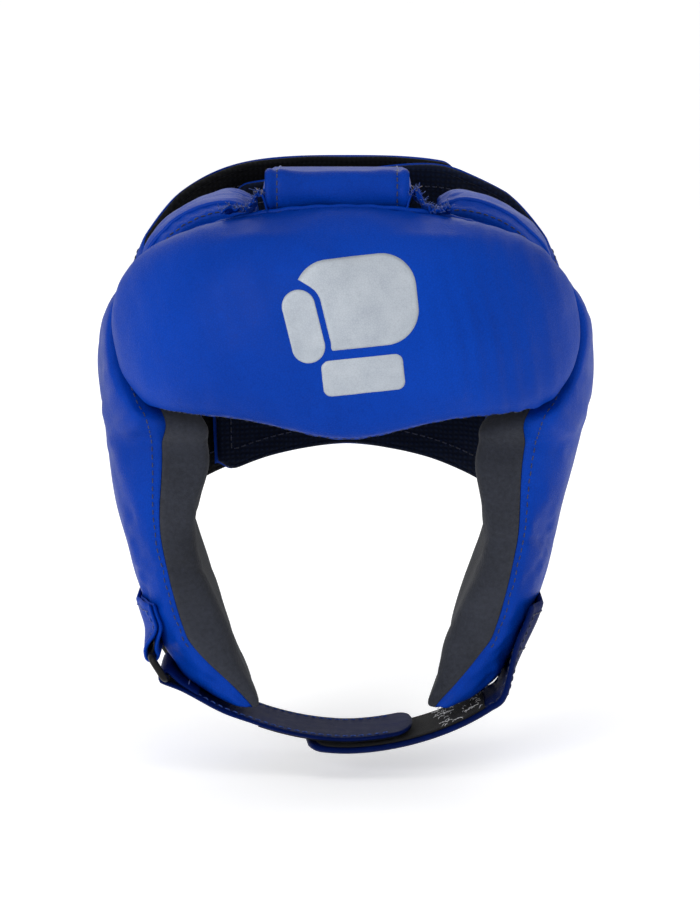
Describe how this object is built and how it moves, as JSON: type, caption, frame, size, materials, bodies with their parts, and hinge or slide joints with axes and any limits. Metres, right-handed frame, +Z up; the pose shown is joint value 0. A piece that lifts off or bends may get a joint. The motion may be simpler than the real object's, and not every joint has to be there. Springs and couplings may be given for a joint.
{
  "type": "boxing headgear",
  "caption": "Open-face padded boxing headgear with forehead, cheek and crown pads, overlapping rear wings, crown strap and hook-and-loop chin straps.",
  "frame": {"origin": "middle of the head cavity at eye level, on the middle plane, where the wearer's head sits", "axes": "+Z up towards the crown, -Y out of the face opening, +X to the wearer's left side"},
  "size_m": [0.2001, 0.23, 0.2389],
  "materials": {
    "blue_leather": "smooth satin leather, fine grain",
    "strap_leather": "satin strap leather with stitched hems",
    "grey_suede": "napped suede lining",
    "foam": "closed-cell foam, hidden",
    "black_lining": "black brushed lining",
    "hook_tape": "black hook tape",
    "loop_tape": "dark loop tape",
    "emblem_print": "matte silver-grey print film",
    "ring_metal": "black painted wire"
  },
  "bodies": {
    "pads": {"forehead_cover": "blue_leather", "side_cover_left": "blue_leather", "side_cover_right": "blue_leather", "ear_binding_left": "blue_leather", "ear_binding_right": "blue_leather", "crown_pad_cover_left": "blue_leather", "crown_pad_cover_right": "blue_leather", "crown_pad_gusset_left": "blue_leather", "crown_pad_gusset_right": "blue_leather", "crown_roll_cover": "blue_leather", "crown_tongue": "blue_leather", "jaw_tab_left": "strap_leather", "jaw_tab_right": "strap_leather", "forehead_lining": "grey_suede", "side_lining_left": "grey_suede", "side_lining_right": "grey_suede", "crown_pad_lining_left": "grey_suede", "crown_pad_lining_right": "grey_suede", "forehead_foam_firm": "foam", "forehead_foam_soft": "foam", "side_foam_left": "foam", "side_foam_right": "foam", "crown_pad_foam_left": "foam", "crown_pad_foam_right": "foam", "crown_roll_core": "foam", "forehead_emblem": "emblem_print"},
    "outer_rear_wing": {"rear_wing_outer_leather": "blue_leather", "rear_wing_outer_foam": "foam", "rear_wing_outer_lining": "black_lining", "rear_wing_hook_patch": "hook_tape"},
    "inner_rear_wing": {"rear_wing_inner_leather": "blue_leather", "rear_wing_inner_foam": "foam", "rear_wing_inner_lining": "black_lining", "rear_wing_loop_patch": "loop_tape"},
    "crown_strap": {"crown_strap": "strap_leather", "crown_hook_patch": "hook_tape"},
    "outer_chin_strap": {"chin_strap_outer": "strap_leather", "chin_strap_hook_patch": "hook_tape"},
    "chin_ring": {"chin_ring": "ring_metal"},
    "inner_chin_strap": {"chin_strap_inner": "strap_leather", "chin_strap_loop_patch": "loop_tape"}
  },
  "joints": [
    {"name": "outer_wing_swing", "type": "hinge", "parent": "pads", "child": "outer_rear_wing", "pos_m": [-0.0975, 0.0405, 0.02], "axis": [0, 0, 1], "range_deg": [0, 70]},
    {"name": "inner_wing_swing", "type": "hinge", "parent": "pads", "child": "inner_rear_wing", "pos_m": [0.0975, 0.0405, 0.02], "axis": [0, 0, 1], "range_deg": [-30, 0]},
    {"name": "crown_strap_lift", "type": "hinge", "parent": "pads", "child": "crown_strap", "pos_m": [-0.0035, -0.072, 0.1195], "axis": [1, 0, 0], "range_deg": [0, 80]},
    {"name": "outer_strap_swing", "type": "hinge", "parent": "pads", "child": "outer_chin_strap", "pos_m": [0.0662, -0.04, -0.0905], "axis": [0, -1, 0], "range_deg": [0, 75]},
    {"name": "chin_ring_tilt", "type": "hinge", "parent": "pads", "child": "chin_ring", "pos_m": [-0.0789, -0.04, -0.072], "axis": [0, -1, 0], "range_deg": [-10, 0]},
    {"name": "inner_strap_swing", "type": "hinge", "parent": "chin_ring", "child": "inner_chin_strap", "pos_m": [-0.0732, -0.04, -0.0812], "axis": [0, -1, 0], "range_deg": [-20, 0]}
  ],
  "couplings": [
    {"joint": "inner_wing_swing", "follows": "outer_wing_swing", "ratio": -0.35},
    {"joint": "chin_ring_tilt", "follows": "outer_strap_swing", "ratio": -0.08},
    {"joint": "inner_strap_swing", "follows": "outer_strap_swing", "ratio": -0.2}
  ]
}
